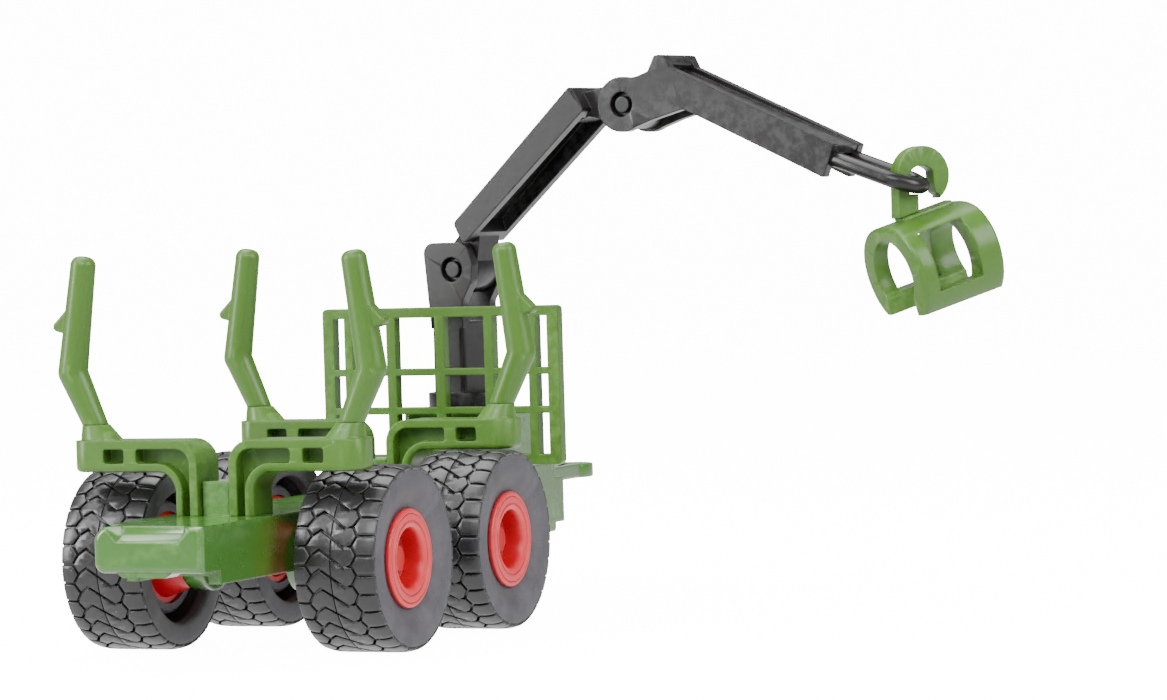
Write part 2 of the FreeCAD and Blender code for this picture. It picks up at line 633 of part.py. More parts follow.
# ---------------------------------------------------------------------------
# Crane.  Built in its own plane: u along the boom's heading, v across, z up,
# origin on the slewing axis at ground level, then turned to its heading.
# ---------------------------------------------------------------------------
CR = FreeCAD.Placement(V(0, VALUES["cr_y"], 0), FreeCAD.Rotation(V(0, 0, 1), VALUES["cr_yaw"]))


def crane_node(shape, name):
    f = doc.addObject("Part::Feature", uid(name))
    f.Shape = shape
    f.Placement = CR
    f.setExpression("Placement.Rotation.Angle", "Sizes.cr_yaw")
    node(f, name, 0.0, D("cr_y"), 0.0)
    return f


def both_sides(face, v0, v1):
    """Extrude a (u, z) face between v0 and v1 on both sides of the mid-plane."""
    out = []
    for a, b in ((v0, v1), (-v1, -v0)):
        p = face.extrude(V(0, b - a, 0))
        p.translate(V(0, a, 0))
        out.append(p)
    return out


def across(face, v):
    p = face.extrude(V(0, 2 * v, 0))
    p.translate(V(0, -v, 0))
    return p


def disc(u, z, r, v0, v1):
    return Part.makeCylinder(r, v1 - v0, V(u, v0, z), V(0, 1, 0))


q = VALUES
H, PL = q["cr_half"], q["cr_plate"]
u1, z1, u2, z2 = q["pin1_u"], q["pin1_z"], q["pin2_u"], q["pin2_z"]

# column: round foot with the pivot pin, a stem, and a fork with two ears
foot = Part.makeCylinder(q["base_rad"], q["base_top"] - q["tw_top"], V(0, 0, q["tw_top"]), V(0, 0, 1))
pin = Part.makeCylinder(q["piv_rad"] - 0.06, q["piv_deep"] - 0.1, V(0, 0, q["tw_top"] - q["piv_deep"] + 0.1), V(0, 0, 1))
stem = Part.makeBox(q["col_r"] - q["col_l"], 2 * H, q["col_gap"] - q["base_top"] + 0.2, V(q["col_l"], -H, q["base_top"] - 0.1))
stem = stem.makeFillet(0.5, [e for e in stem.Edges if along(e, "z")])
ear = bent([(q["col_l"], q["col_gap"] - 0.5), (q["col_l"] - 0.85, z1 + q["head_rad"], 1.2), (u1 + q["head_rad"] * 0.62, z1 + q["head_rad"], 1.4),
            (u1 + q["head_rad"] - 0.3, z1 + 0.6, 1.2), (u1 + q["head_rad"] - 0.45, z1 - 1.4, 1.2), (q["col_r"], z1 - 3.6, 1.0), (q["col_r"], q["col_gap"] - 0.5)])
ears = both_sides(ear, H - PL, H)
column = foot.fuse([pin, stem] + ears)
column = column.cut(disc(u1, z1, q["pin_hole"], -H - 1, H + 1)).removeSplitter()
crane_node(column, "crane_column")

# main boom: an inverted channel with a lug at each end
MB, MW = q["mb_half"], q["mb_wall"]
side = bent([(1.25, 41.95, 0.6), (2.45, 39.58, 0.5), (18.3, 53.65, 0.4), (16.75, 56.45, 0.5)])
whole = across(side, MB)
ax = V(18.3 - 2.75, 0, 53.65 - 39.85)
ax.normalize()
nrm = V(-ax.z, 0, ax.x)
inner = bent([(p.x, p.z) for p in (V(2.75, 0, 39.85) + ax * 1.3 - nrm * 0.6, V(18.3, 0, 53.65) - ax * 1.3 - nrm * 0.6,
                                   V(16.75, 0, 56.45) - ax * 1.3 - nrm * MW, V(1.25, 0, 41.95) + ax * 1.9 - nrm * MW)])
channel = whole.cut(across(inner, MB - MW))
L = q["lug_half"]
lug1 = disc(u1, z1, q["lug_rad"], -L, L)
web1 = across(bent([(u1 - 2.4, z1 + 0.8), (1.6, 41.5), (2.6, 42.3), (3.5, 40.7), (u1 + 2.45, z1 + 0.8)]), L)
lug2 = disc(u2, z2, q["lug_rad"], -L, L)
web2 = across(bent([(17.3, 55.6), (u2 - 0.6, z2 + 2.5), (u2 + 0.8, z2 - 2.4), (17.9, 53.0), (15.9, 52.4)]), L)
pins = []
for (u, z) in ((u1, z1), (u2, z2)):
    pins.append(disc(u, z, q["pin_rad"], -2.6, 2.6))
    pins.append(disc(u, z, q["pin_stub"], -3.3, 3.3))
boom = channel.fuse([lug1, web1, lug2, web2] + pins).removeSplitter()
crane_node(boom, "main_boom")

# outer boom: two plates with round heads, a raised neck and a long box
OW = q["ob_wall"]
out = bent([(u2 - 1.7, z2 + 2.4, 1.0), (24.9, 57.05, 0.8), (26.15, 57.5, 0.3), (27.0, 59.15, 0.4), (28.1, 59.15, 0.3), (28.75, 57.85),
            (48.3, 49.05, 0.2), (47.0, 45.6, 0.2), (30.4, 53.35, 1.2), (26.6, 52.35, 3.0), (u2 + 0.3, z2 - 2.95, 1.0)])
plates = both_sides(out, H - OW, H)
heads = [disc(u2, z2, q["disc_rad"], H - OW, H), disc(u2, z2, q["disc_rad"], -H, -H + OW)]
top_dir = V(48.3 - 28.75, 0, 49.05 - 57.85)
top_dir.normalize()
tn = V(-top_dir.z, 0, top_dir.x)
p0 = V(28.4, 0, 58.0)
r1 = V(28.75, 0, 57.85)
r2 = V(48.25, 0, 49.07)
roof = bent([(p.x, p.z) for p in (r1 - top_dir * 1.2 - tn * 0.6, r1 + top_dir * 9.0 - tn * 0.5, r2 - top_dir * 3.0 - tn * 0.2, r2 - tn * 0.12, r2 - tn * 1.05, r1 - top_dir * 1.2 - tn * 1.4)])
roof = across(roof, H - 0.05)
end_wall = bent([(p.x, p.z) for p in (r2 - top_dir * 1.3 - tn * 0.3, r2 - top_dir * 1.3 - tn * 3.35, r2 - top_dir * 2.4 - tn * 3.35, r2 - top_dir * 2.4 - tn * 0.3)])
end_wall = across(end_wall, H - 0.05)
crest = Part.makeCylinder(0.85, 2 * H, V(27.55, -H, 58.35), V(0, 1, 0))
rib = across(bent([(25.2, 56.9), (27.3, 58.6), (27.9, 56.6), (25.6, 55.9)]), H - OW + 0.1)
obx = plates[0].fuse([plates[1], roof, end_wall, crest, rib] + heads)
obx = obx.cut(disc(u2, z2, q["pin_hole"], -H - 1, H + 1))

# loop: a bent rod that comes out of the box and turns back into it.  Its end
# has two short straight sides, and the grapple hangs on the far one.
R0, LV = q["bar_rad"], q["loop_v"]
a0 = V(q["loop_u0"], -LV, q["loop_z0"])
b0 = V(q["loop_u0"], LV, q["loop_z0"])
slope = (V(q["loop_uc"], 0, q["loop_zc"]) - V(q["loop_u0"], 0, q["loop_z0"])).normalize()
TURN, SIDE = math.radians(q["loop_turn"]), q["loop_side"]
RB = LV - SIDE * math.sin(TURN)
START = V(q["loop_uc"], 0, q["loop_zc"]) - slope * q["loop_back"]


def on_loop(s_, v_):
    """Point of the loop's plane, s_ along the boom from the start of the bend."""
    p = START + slope * s_
    return V(p.x, v_, p.z)


def bend_point(t):
    """Point of the first bend after turning by t."""
    return on_loop(RB * math.sin(t), -LV + RB * (1 - math.cos(t)))


s1 = RB * math.sin(TURN)
v1 = -LV + RB * (1 - math.cos(TURN))
s2 = s1 + SIDE * math.cos(TURN)
v2 = v1 + SIDE * math.sin(TURN)
tip_s = s2 + RB * (1 - math.sin(TURN))
pe = [on_loop(0, -LV), bend_point(TURN / 2), on_loop(s1, v1), on_loop(s2, v2), on_loop(tip_s, 0), on_loop(s2, -v2), on_loop(s1, -v1),
      V(bend_point(TURN / 2).x, -bend_point(TURN / 2).y, bend_point(TURN / 2).z), on_loop(0, LV)]
path = Part.Wire([Part.makeLine(a0, pe[0]), Part.Arc(pe[0], pe[1], pe[2]).toShape(), Part.makeLine(pe[2], pe[3]),
                  Part.Arc(pe[3], pe[4], pe[5]).toShape(), Part.makeLine(pe[5], pe[6]), Part.Arc(pe[6], pe[7], pe[8]).toShape(), Part.makeLine(pe[8], b0)])
seat_mid = (pe[5] + pe[6]) * 0.5
seat_dir = (pe[6] - pe[5]).normalize()
print("loop seat mid", seat_mid, "direction", seat_dir)
prof = Part.Wire([Part.Circle(a0, slope, R0).toShape()])
loop = path.makePipeShell([prof], True, True)
loop = Part.Solid(loop) if loop.ShapeType != "Solid" else loop
holes = [Part.makeCylinder(R0, 6.0, p - slope * 0.5, slope) for p in (a0, b0)]
for hcyl in holes:
    obx = obx.cut(hcyl)
crane_node(obx.removeSplitter(), "outer_boom")
crane_node(loop, "boom_loop")

# ---------------------------------------------------------------------------
# Grapple: a cane-shaped hook that hangs on the loop, on a saddle that clips
# over a log.  Own frame: X along the log, Y across, Z up, origin in the hook.
# ---------------------------------------------------------------------------
T = q["hk_thick"] / 2.0
SL = q["hk_slot"]
RO = q["hk_out"]
CU = q["hk_up"]


def plate_xz(face, t):
    p = face.extrude(V(0, 2 * t, 0))
    p.translate(V(0, -t, 0))
    return p


def yz_face(pts):
    """Rounded polygon in (y, z)."""
    f = bent(pts)
    f.rotate(V(0, 0, 0), V(0, 0, 1), 90)
    return f


crook = Part.makeCylinder(RO, 2 * T, V(q["hk_off"], -T, CU), V(0, 1, 0))
left = q["hk_off"] - RO
crook = crook.fuse(plate_xz(bent([(left, CU), (left, -9.0), (-0.45, -9.0), (-0.45, CU)]), T))
# the slot: a round seat about the swing axis over a throat that opens down
seat_r = Part.makeCylinder(q["hk_top"], 2 * T + 2, V(0, -T - 1, 0), V(0, 1, 0))
throat = plate_xz(bent([(-SL, -12.0), (-SL, 3.0), (1.22, 3.0), (1.36, -0.2), (1.55, -q["hk_tip"] + 0.35), (2.05, -q["hk_tip"]), (2.05, -2.6), (RO + 3.0, -2.6), (RO + 3.0, -12.0)]), T + 1.0)
above = Part.makeBox(20, 20, 20, V(-10, -10, 0.0))
over = throat.common(above).common(seat_r)
below = throat.cut(above)
stem_side = Part.makeBox(20, 20, 20, V(-20 - 0.45, -10, -20 - 1.2))
crook = crook.cut(over).cut(below.cut(stem_side))

sd = q["sd_len"]
IN, OUT, UP, LEG = q["sd_in"], q["sd_out"], q["sd_up"], q["sd_leg"]
TOP = IN + UP
half = [(OUT - 1.75, -LEG), (OUT - 0.5, -3.0), (OUT + 0.1, -1.1), (OUT + 0.05, 0.9), (OUT - 0.75, 2.75), (OUT - 2.3, TOP - 0.7), (OUT - 4.0, TOP - 0.12)]
rim_pts = half + [(0.0, TOP)] + [(-y, z) for y, z in reversed(half)]
curve = Part.BSplineCurve()
curve.interpolate([V(0, y, z) for y, z in rim_pts])
outer = Part.Face(Part.Wire([curve.toShape(), Part.makeLine(V(0, rim_pts[-1][0], -LEG), V(0, rim_pts[0][0], -LEG))])).extrude(V(sd, 0, 0))
outer = outer.makeFillet(0.45, [e for e in outer.Edges if e.Length > 8.0 and not along(e, "x") and e.BoundBox.ZMax > 0])
innr = Part.makeCylinder(IN, sd + 2, V(0, 0, -q["sd_drop"]), V(1, 0, 0)).fuse(Part.makeBox(sd + 2, 2 * IN - 2.0, LEG + 2.0, V(0, -IN + 1.0, -LEG - 2.0)))
innr.translate(V(-1, 0, 0))
sad = outer.cut(innr)
win = Part.makeBox(q["win_len"], 4 * OUT, q["win_hi"] - q["win_lo"], V((sd - q["win_len"]) / 2.0 + q["win_at"], -2 * OUT, q["win_lo"]))
sad = sad.cut(win)
rib = Part.makeBox(sd / 2.0 + 1.2, 1.75, 0.8, V(sd / 2.0 - 2.6, -0.875, IN + UP - 0.4))
rib = rib.makeFillet(0.3, [e for e in rib.Edges if along(e, "x") and mid(e).z > IN + UP])
sad = sad.fuse(rib).removeSplitter()
sad.translate(V(-sd / 2.0, 0, 0))
under = Part.makeBox(sd + 8, 4 * OUT, 30.0, V(-sd / 2.0 - 4, -2 * OUT, IN + UP + 0.4 - 30.0))
for sh in (sad, under):
    sh.rotate(V(0, 0, 0), V(0, 1, 0), -q["sd_tilt"])
    sh.translate(V(q["sd_x"], 0, q["sd_z"]))
hook = crook.cut(under).removeSplitter()
sad = Part.makeCompound([sad])

c8, s8 = math.cos(math.radians(q["cr_yaw"])), math.sin(math.radians(q["cr_yaw"]))
GX = q["gr_u"] * c8 - q["gr_v"] * s8
GY = q["cr_y"] + q["gr_u"] * s8 + q["gr_v"] * c8
SWING = FreeCAD.Rotation(V(0, 0, 1), q["gr_yaw"]).multiply(FreeCAD.Rotation(V(0, 1, 0), -q["gr_tilt"]))
GP = FreeCAD.Placement(V(GX, GY, q["gr_z"]), SWING)
for shape, name in ((hook, "grapple_hook"), (sad, "grapple_saddle")):
    f = doc.addObject("Part::Feature", uid(name))
    f.Shape = shape
    f.Placement = GP
    node(f, name, GX, GY, D("gr_z"))

# ---------------------------------------------------------------------------
# Check and write.
# ---------------------------------------------------------------------------
doc.recompute()
bad = [o.Name + ":" + ",".join(o.State) for o in doc.Objects if "Invalid" in o.State or "Error" in o.State]
if bad:
    raise RuntimeError("failed objects: " + "; ".join(bad))
for name, o in NODES:
    sh = o.Shape
    if sh.isNull() or not sh.isValid() or len(sh.Solids) < 1:
        raise RuntimeError("bad shape in " + name)
os.makedirs("parts", exist_ok=True)
for name, o in NODES:
    o.Shape.exportStep("parts/%s.step" % name)
    bb = o.Shape.BoundBox
    print("%-24s solids %d vol %9.2f  x %7.2f %7.2f  y %7.2f %7.2f  z %7.2f %7.2f" % (
        name, len(o.Shape.Solids), o.Shape.Volume, bb.XMin, bb.XMax, bb.YMin, bb.YMax, bb.ZMin, bb.ZMax))
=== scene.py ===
import math

import bpy
import bmesh
from mathutils import Matrix, Vector


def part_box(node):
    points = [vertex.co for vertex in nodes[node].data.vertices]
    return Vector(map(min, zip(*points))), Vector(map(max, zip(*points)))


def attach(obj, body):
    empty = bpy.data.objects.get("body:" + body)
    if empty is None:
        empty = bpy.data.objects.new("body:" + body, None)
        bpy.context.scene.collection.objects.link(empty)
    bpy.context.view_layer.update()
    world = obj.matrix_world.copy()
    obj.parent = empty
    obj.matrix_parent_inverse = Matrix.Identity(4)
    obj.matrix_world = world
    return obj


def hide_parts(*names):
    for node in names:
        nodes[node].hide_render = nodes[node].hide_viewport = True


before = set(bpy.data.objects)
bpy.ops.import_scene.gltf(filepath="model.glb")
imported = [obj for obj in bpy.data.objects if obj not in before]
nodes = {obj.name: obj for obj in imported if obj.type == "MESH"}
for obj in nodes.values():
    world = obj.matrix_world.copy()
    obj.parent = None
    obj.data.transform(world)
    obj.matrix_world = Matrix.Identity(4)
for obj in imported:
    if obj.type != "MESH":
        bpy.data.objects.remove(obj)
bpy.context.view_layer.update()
K = 0.001175
SHIFT = Vector((0.0, -0.0782, -0.0130))
FLOOR_Z = -0.0130

# ---------------------------------------------------------------- materials


def principled(name, base, rough, **sock):
    m = bpy.data.materials.new(name)
    m.use_nodes = True
    nt = m.node_tree
    bsdf = nt.nodes["Principled BSDF"]
    bsdf.inputs["Base Color"].default_value = (*base, 1)
    bsdf.inputs["Roughness"].default_value = rough
    for k, v in sock.items():
        bsdf.inputs[k].default_value = v
    return m, nt, bsdf


class Graph:
    """Short hand for building a node tree."""

    def __init__(self, nt):
        self.nt, self.N, self.L = nt, nt.nodes, nt.links
        self.tc = self.N.new("ShaderNodeTexCoord")

    def coord(self, scale=(1, 1, 1), rot=(0, 0, 0)):
        mp = self.N.new("ShaderNodeMapping")
        mp.inputs["Scale"].default_value = scale
        mp.inputs["Rotation"].default_value = rot
        self.L.new(self.tc.outputs["Object"], mp.inputs["Vector"])
        return mp.outputs["Vector"]

    def noise(self, scale, detail=3.0, rough=0.5, vec=None, distortion=0.0):
        n = self.N.new("ShaderNodeTexNoise")
        n.inputs["Scale"].default_value = scale
        n.inputs["Detail"].default_value = detail
        n.inputs["Roughness"].default_value = rough
        n.inputs["Distortion"].default_value = distortion
        self.L.new(vec if vec is not None else self.tc.outputs["Object"], n.inputs["Vector"])
        return n.outputs["Fac"]

    def voronoi(self, scale, feature="F1", rand=1.0, vec=None):
        n = self.N.new("ShaderNodeTexVoronoi")
        n.feature = feature
        n.inputs["Scale"].default_value = scale
        n.inputs["Randomness"].default_value = rand
        self.L.new(vec if vec is not None else self.tc.outputs["Object"], n.inputs["Vector"])
        return n.outputs["Distance"]

    def remap(self, v, a, b, c=0.0, d=1.0, smooth=False):
        n = self.N.new("ShaderNodeMapRange")
        if smooth:
            n.interpolation_type = "SMOOTHSTEP"
        for k, x in (("From Min", a), ("From Max", b), ("To Min", c), ("To Max", d)):
            n.inputs[k].default_value = x
        self.L.new(v, n.inputs["Value"])
        return n.outputs["Result"]

    def math(self, op, a, b=None):
        n = self.N.new("ShaderNodeMath")
        n.operation = op
        for i, x in enumerate((a, b)):
            if x is None:
                continue
            if isinstance(x, (int, float)):
                n.inputs[i].default_value = x
            else:
                self.L.new(x, n.inputs[i])
        return n.outputs[0]

    def mix(self, fac, a, b, mode="MIX"):
        n = self.N.new("ShaderNodeMix")
        n.data_type = "RGBA"
        n.blend_type = mode
        if isinstance(fac, (int, float)):
            n.inputs["Factor"].default_value = fac
        else:
            self.L.new(fac, n.inputs["Factor"])
        for key, x in (("A", a), ("B", b)):
            sock = [s for s in n.inputs if s.name == key and s.type == "RGBA"][0]
            if isinstance(x, tuple):
                sock.default_value = (*x, 1)
            else:
                self.L.new(x, sock)
        return [s for s in n.outputs if s.type == "RGBA"][0]

    def ramp(self, v, stops):
        n = self.N.new("ShaderNodeValToRGB")
        r = n.color_ramp
        while len(r.elements) < len(stops):
            r.elements.new(0.5)
        for e, (p, c) in zip(r.elements, stops):
            e.position = p
            e.color = (*c, 1)
        self.L.new(v, n.inputs["Fac"])
        return n.outputs["Color"]

    def bump(self, height, strength, dist, normal=None):
        n = self.N.new("ShaderNodeBump")
        n.inputs["Strength"].default_value = strength
        n.inputs["Distance"].default_value = dist
        self.L.new(height, n.inputs["Height"])
        if normal is not None:
            self.L.new(normal, n.inputs["Normal"])
        return n.outputs["Normal"]

    def soft(self, radius):
        """Normal with every sharp edge rounded by radius."""
        n = self.N.new("ShaderNodeBevel")
        n.samples = 6
        n.inputs["Radius"].default_value = radius
        return n.outputs["Normal"]

    def outermost(self, lo, hi):
        """0 to 1 as the distance from the trailer's centre plane goes from lo to hi."""
        sx = self.N.new("ShaderNodeSeparateXYZ")
        self.L.new(self.tc.outputs["Object"], sx.inputs[0])
        return self.remap(self.math("ABSOLUTE", sx.outputs["X"]), lo, hi, smooth=True)

    def edges(self, lo, hi):
        g = self.N.new("ShaderNodeNewGeometry")
        return self.remap(g.outputs["Pointiness"], lo, hi, smooth=True)


def moulded(name, deep, mid, pale, rough, grain=1.0, wear_and_edge_highlight=None, scratch=0.15, specks=0.0, coat=0.0, sss=0.0, spec=0.5, soft=0.0002, flange_highlight=None):
    """Moulded plastic or sprayed paint: drifting tone, flow marks, orange peel, handling scratches,
    rubbed corners lightened as a painted edge highlight, when given a painted highlight band on the outermost face,
    and a few dust specks."""
    m, nt, bsdf = principled(name, mid, sum(rough) / 2)
    g = Graph(nt)
    drift = g.noise(55.0, 2.0)
    flow = g.noise(260.0, 3.0, 0.55, vec=g.coord((1.0, 1.0, 0.35)), distortion=0.6)
    tone = g.math("ADD", g.math("MULTIPLY", drift, 0.6), g.math("MULTIPLY", flow, 0.4))
    col = g.ramp(tone, [(0.32, deep), (0.5, mid), (0.68, pale)])
    fine = g.noise(5200.0, 3.0, 0.6)
    if wear_and_edge_highlight is not None:
        # rubbed corners and painted edge highlight: convex edges are mixed towards a paler colour, partly handling
        # wear, partly light caught on the edges
        e = g.edges(0.515, 0.60)
        rub_and_highlight = g.math("MULTIPLY", e, g.remap(g.noise(900.0, 3.0, 0.6), 0.38, 0.62))
        col = g.mix(g.math("MULTIPLY", rub_and_highlight, 0.55), col, wear_and_edge_highlight)
    # painted highlight: the outermost band of a rim's face is mixed towards a paler red, standing in for light
    # caught on the flange
    if flange_highlight is not None:
        col = g.mix(g.math("MULTIPLY", g.outermost(*flange_highlight[:2]), 0.6), col, flange_highlight[2])
    # hairline handling marks in two directions
    s1 = g.remap(g.noise(900.0, 2.0, 0.5, vec=g.coord((0.06, 1.0, 1.0), (0.3, 0.5, 0.7))), 0.655, 0.69)
    s2 = g.remap(g.noise(800.0, 2.0, 0.5, vec=g.coord((1.0, 0.05, 1.0), (1.1, 0.2, 0.4))), 0.66, 0.695)
    marks = g.math("MULTIPLY", g.math("MAXIMUM", s1, s2), scratch)
    if specks > 0:
        d = g.voronoi(420.0)
        sp = g.math("MULTIPLY", g.remap(d, 0.055, 0.03), g.remap(g.noise(90.0, 1.0), 0.5, 0.6))
        col = g.mix(g.math("MULTIPLY", sp, specks), col, (0.55, 0.52, 0.47))
    g.L.new(col, bsdf.inputs["Base Color"])
    rv = g.remap(g.math("ADD", g.math("MULTIPLY", fine, 0.35), g.math("MULTIPLY", g.noise(330.0, 3.0), 0.65)), 0.3, 0.7, rough[0], rough[1])
    g.L.new(g.math("ADD", rv, g.math("MULTIPLY", marks, 0.35)), bsdf.inputs["Roughness"])
    n1 = g.bump(g.noise(700.0, 2.0), 0.25 * grain, 0.00005, g.soft(soft))
    n2 = g.bump(fine, 0.22 * grain, 0.000012, n1)
    n3 = g.bump(marks, -0.25, 0.00001, n2)
    g.L.new(n3, bsdf.inputs["Normal"])
    bsdf.inputs["Specular IOR Level"].default_value = spec
    bsdf.inputs["Coat Weight"].default_value = coat
    bsdf.inputs["Coat Roughness"].default_value = 0.12
    if sss > 0:
        bsdf.inputs["Subsurface Weight"].default_value = sss
        bsdf.inputs["Subsurface Radius"].default_value = (0.3, 1.0, 0.2)
        bsdf.inputs["Subsurface Scale"].default_value = 0.0005
    return m


def rubber(name, dark, light, rough, dust, dust_and_edge_highlight_col=(0.16, 0.16, 0.165), bump=1.0, spec=0.4):
    """Soft vinyl: a clouded bloom on the surface, dust caught in it, a painted highlight lightening the convex
    edges, and a slightly eroded mould finish.
    """
    m, nt, bsdf = principled(name, dark, sum(rough) / 2, **{"Specular IOR Level": spec})
    g = Graph(nt)
    cloud = g.noise(420.0, 4.0, 0.6)
    fine = g.noise(3800.0, 4.0, 0.65)
    col = g.ramp(g.math("ADD", g.math("MULTIPLY", cloud, 0.55), g.math("MULTIPLY", fine, 0.45)), [(0.34, dark), (0.66, light)])
    bloom = g.math("MULTIPLY", g.remap(g.noise(170.0, 4.0, 0.6), 0.42, 0.66, smooth=True), dust)
    col = g.mix(bloom, col, dust_and_edge_highlight_col)
    sp = g.math("MULTIPLY", g.remap(g.voronoi(1300.0), 0.12, 0.06), g.remap(g.noise(230.0, 2.0), 0.52, 0.62))
    col = g.mix(g.math("MULTIPLY", sp, 0.35), col, (0.3, 0.3, 0.29))
    # painted highlight: convex edges are mixed towards the dust colour, standing in for light caught on the block
    # edges
    e = g.edges(0.52, 0.62)
    col = g.mix(g.math("MULTIPLY", e, 0.25), col, dust_and_edge_highlight_col)
    g.L.new(col, bsdf.inputs["Base Color"])
    g.L.new(g.remap(g.math("ADD", g.math("MULTIPLY", cloud, 0.5), g.math("MULTIPLY", fine, 0.5)), 0.3, 0.7, rough[0], rough[1]), bsdf.inputs["Roughness"])
    n1 = g.bump(g.noise(1500.0, 3.0, 0.6), 0.3 * bump, 0.00004)
    n2 = g.bump(fine, 0.45 * bump, 0.00002, n1)
    g.L.new(n2, bsdf.inputs["Normal"])
    return m


def metal(name, base, rough):
    """Plated steel pin: fine turning marks round the axle and a slightly dulled plating."""
    m, nt, bsdf = principled(name, base, rough, Metallic=1.0)
    g = Graph(nt)
    rings = g.noise(2600.0, 2.0, 0.5, vec=g.coord((1.0, 0.05, 0.05)))
    cloud = g.noise(500.0, 3.0)
    g.L.new(g.ramp(cloud, [(0.35, tuple(0.75 * c for c in base)), (0.65, base)]), bsdf.inputs["Base Color"])
    g.L.new(g.remap(g.math("ADD", g.math("MULTIPLY", rings, 0.5), g.math("MULTIPLY", cloud, 0.5)), 0.3, 0.7, rough * 0.7, rough * 1.4), bsdf.inputs["Roughness"])
    g.L.new(g.bump(rings, 0.3, 0.00001), bsdf.inputs["Normal"])
    return m


# the edge colours below are paler than each base: rubbing plus a painted edge highlight
M_PLAST = moulded("green_moulded_plastic", (0.05, 0.13, 0.0115), (0.0545, 0.139, 0.013), (0.059, 0.148, 0.015), (0.32, 0.44), wear_and_edge_highlight=(0.12, 0.25, 0.05), scratch=0.25, specks=0.2, sss=0.1, spec=0.36, coat=0.12, soft=0.00028)
M_CAST = moulded("green_painted_casting", (0.042, 0.138, 0.0165), (0.0455, 0.146, 0.018), (0.049, 0.154, 0.02), (0.16, 0.26), grain=0.7, wear_and_edge_highlight=(0.11, 0.27, 0.055), scratch=0.3, specks=0.25, coat=0.6, soft=0.00045)
M_BLACK = moulded("black_moulded_plastic", (0.0082, 0.0067, 0.007), (0.0092, 0.0076, 0.0079), (0.0102, 0.0086, 0.0089), (0.29, 0.35), wear_and_edge_highlight=(0.05, 0.05, 0.052), scratch=0.3, specks=0.12, grain=0.35, spec=0.32, coat=0.12)
M_TREAD = rubber("tread_rubber", (0.011, 0.0105, 0.0115), (0.018, 0.0172, 0.0186), (0.26, 0.4), 0.15, dust_and_edge_highlight_col=(0.045, 0.044, 0.047), spec=0.55)
# painted light: the sidewall rubber is the tread rubber made several times lighter, with more bloom, standing in
# for the sidewalls lit from the right; it is also rougher
M_LIT_SIDEWALL = rubber("sidewall_rubber_painted_lit", (0.052, 0.0495, 0.056), (0.088, 0.084, 0.094), (0.55, 0.75), 0.4, dust_and_edge_highlight_col=(0.115, 0.11, 0.122), bump=1.4, spec=0.35)
# red rims: edges lightened as painted highlight and rubbing, and the outer face band painted paler as a flange
# highlight
M_RIM = moulded("red_moulded_plastic", (0.41, 0.001, 0.007), (0.445, 0.0012, 0.0085), (0.48, 0.0016, 0.0095), (0.26, 0.38), wear_and_edge_highlight=(0.8, 0.06, 0.07), scratch=0.2, specks=0.12, sss=0.06, spec=0.42, soft=0.00012, flange_highlight=(0.0163, 0.01695, (0.72, 0.05, 0.06)))
M_RIM.node_tree.nodes["Principled BSDF"].inputs["Subsurface Radius"].default_value = (1.0, 0.15, 0.15)
M_STEEL = metal("plated_steel", (0.5, 0.5, 0.49), 0.3)


def dress(name, mat, bevel=0.00015, seg=2):
    o = nodes[name]
    o.data.materials.clear()
    o.data.materials.append(mat)
    w = o.modifiers.new("join", "WELD"); w.merge_threshold = 1e-6
    b = o.modifiers.new("edge", "BEVEL"); b.width = bevel; b.segments = seg; b.limit_method = "ANGLE"; b.angle_limit = math.radians(32)
    b.use_clamp_overlap = True; b.harden_normals = False
    return o


for n in nodes:
    if n.startswith("tyre"):
        dress(n, M_TREAD)
    elif n.startswith("rim"):
        dress(n, M_RIM, 0.00008)
    elif n in ("chassis_frame", "drawbar", "crane_tower"):
        dress(n, M_CAST, 0.0003, 3)
    elif n.endswith("axle"):
        dress(n, M_STEEL)
    elif n in ("crane_column", "main_boom", "outer_boom", "boom_loop"):
        dress(n, M_BLACK)
    else:
        dress(n, M_PLAST)

# ---------------------------------------------------------------- tyres
# A tyre is a turned carcass with a sunken tread band, and 30 pitches of raised
# blocks: five-sided blocks at both shoulders and a zigzag block between them,
# cut in two by a fine sipe. a runs across the tread in mm, b round it.
W, R, DEPTH, PITCHES = 8.9, 9.3, 0.38, 30
P = 2 * math.pi * R / PITCHES
EDGE = 0.09


def crown(a):
    d = min(a, W - a)
    return R - 0.26 * math.exp(-((d / 0.62) ** 1.6))


def inset(poly, widths):
    """Moves each edge i (from point i to i+1) of an anticlockwise polygon inwards by widths[i]."""
    n = len(poly)
    lines = []
    for i in range(n):
        p, q = Vector(poly[i]), Vector(poly[(i + 1) % n])
        d = (q - p).normalized()
        nrm = Vector((-d.y, d.x))
        lines.append((p + nrm * widths[i], d))
    out = []
    for i in range(n):
        (p, d), (q, e) = lines[i - 1], lines[i]
        det = d.x * -e.y + e.x * d.y
        t = ((q.x - p.x) * -e.y + e.x * (q.y - p.y)) / det
        out.append(p + d * t)
    return out


def area2(poly):
    return sum(poly[i][0] * poly[(i + 1) % len(poly)][1] - poly[(i + 1) % len(poly)][0] * poly[i][1] for i in range(len(poly)))


